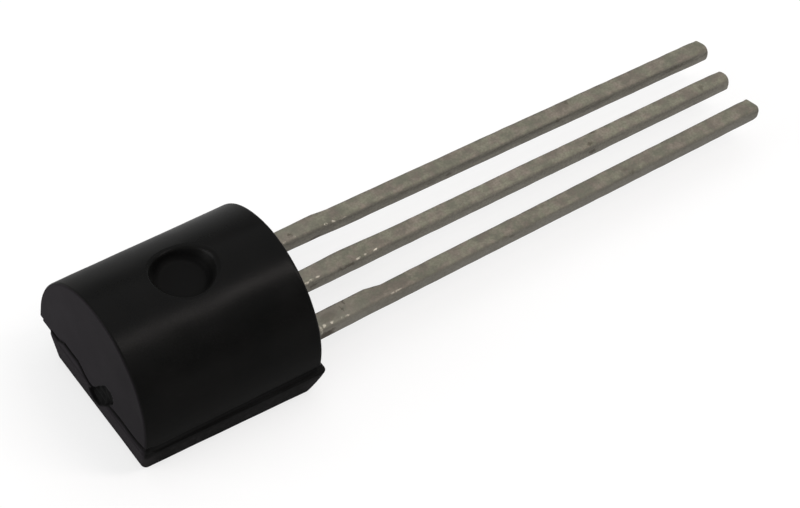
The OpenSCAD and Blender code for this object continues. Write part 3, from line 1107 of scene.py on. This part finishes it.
def inner_material(name, colours, scale, metallic, rough):
    """A piece inside the epoxy: a fine mottled finish."""
    made, tree, shader = new_material(name)
    grain = noise(tree, millimetres(tree), scale)
    dress(
        tree, shader, Base_Color=blend(tree, varied(tree, grain), *colours), Metallic=metallic,
        Roughness=varied(tree, grain, rough, rough + INNER_ROUGHER),
        Normal=relief(tree, grain, *INNER_RELIEF))
    return made


def cover(piece, made):
    """Gives a piece one material."""
    piece.data.materials.clear()
    piece.data.materials.append(made)


# Stage

def soft_light(name, place, aim, size, power, colour):
    """A soft lamp, with its place, aim and size in metres."""
    data = bpy.data.lights.new(name, "AREA")
    data.shape = "RECTANGLE"
    data.size, data.size_y = size
    data.energy = power
    data.color = colour
    lamp = bpy.data.objects.new(name, data)
    lamp.location = place
    lamp.rotation_mode = "QUATERNION"
    lamp.rotation_quaternion = (Vector(aim) - Vector(place)).to_track_quat("-Z", "X")
    bpy.context.scene.collection.objects.link(lamp)


def flat_sheet(name, place, towards, size, colour, glow=0.0):
    """A plain sheet beside the object. Glow is its share of plain white where it is seen or mirrored."""
    width, height = size[0] / 2, size[1] / 2
    mesh = bpy.data.meshes.new(name)
    outline = [(-width, -height, 0), (width, -height, 0), (width, height, 0), (-width, height, 0)]
    mesh.from_pydata(outline, [], [(0, 1, 2, 3)])
    sheet = bpy.data.objects.new(name, mesh)
    sheet.location = place
    sheet.rotation_mode = "QUATERNION"
    sheet.rotation_quaternion = Vector(towards).to_track_quat("Z", "Y")
    bpy.context.scene.collection.objects.link(sheet)
    made, tree, shader = new_material(name)
    dress(tree, shader, Base_Color=(*colour, 1.0), Roughness=0.9, Specular_IOR_Level=0.0)
    if glow:
        rays = put(tree, "LightPath").outputs
        seen = mix_of(
            tree, "MAXIMUM", rays["Is Camera Ray"], rays["Is Glossy Ray"], rays["Is Transmission Ray"])
        white = put(tree, "Emission")
        share = mix_of(tree, "MULTIPLY", seen, glow)
        mixed = put(tree, "MixShader", {0: share, 1: shader.outputs["BSDF"], 2: white.outputs["Emission"]})
        feed(tree, tree.nodes["Material Output"].inputs["Surface"], mixed.outputs["Shader"])
    cover(sheet, made)
    return sheet


def make_stage():
    """Pale floor, soft lamps, a dark card beside the camera and an even sky."""
    flat_sheet("floor", (0, 0, -FLOOR_GAP), (0, 0, 1), FLOOR_SIZE, FLOOR_COLOUR, FLOOR_GLOW)
    card = flat_sheet("dark_card", CARD_PLACE, CARD_TOWARDS, CARD_SIZE, CARD_COLOUR)
    card.visible_camera = False
    for name, settings in LAMPS.items():
        soft_light(name, *settings)
    world = bpy.data.worlds.new("sky")
    bpy.context.scene.world = world
    world.use_nodes = True
    world.node_tree.nodes["Background"].inputs["Color"].default_value = (1, 1, 1, 1)
    world.node_tree.nodes["Background"].inputs["Strength"].default_value = SKY_STRENGTH


def make_camera():
    """The photograph's camera."""
    data = bpy.data.cameras.new("camera")
    data.lens = CAMERA_LENS
    data.sensor_width = CAMERA_SENSOR
    data.clip_start = MM
    camera = bpy.data.objects.new("camera", data)
    camera.location = CAMERA_EYE * MM
    camera.rotation_mode = "QUATERNION"
    level = (CAMERA_AIM - CAMERA_EYE).to_track_quat("-Z", "Y")
    camera.rotation_quaternion = level @ Quaternion((0, 0, 1), CAMERA_ROLL)
    bpy.context.scene.collection.objects.link(camera)
    bpy.context.scene.camera = camera


make_camera()
make_stage()

cover(make_body(), epoxy_material())
for lead in range(len(LEAD_NAMES)):
    cover(make_lead(lead), lead_material(lead))

gold = inner_material("wire", WIRE_GOLD, scale=30.0, metallic=1.0, rough=0.25)
inner_finishes = {
    "die_attach": inner_material("die_bond", BOND_GREY, scale=40.0, metallic=1.0, rough=0.5),
    "sensor_die": inner_material("silicon", SILICON_GREY, scale=6.0, metallic=0.0, rough=0.12),
    "supply_wire": gold,
    "signal_wire": gold,
    "ground_wire": gold,
}
for node_name, node_finish in inner_finishes.items():
    cover(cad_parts[node_name], node_finish)

bpy.context.scene.view_settings.view_transform = "Standard"
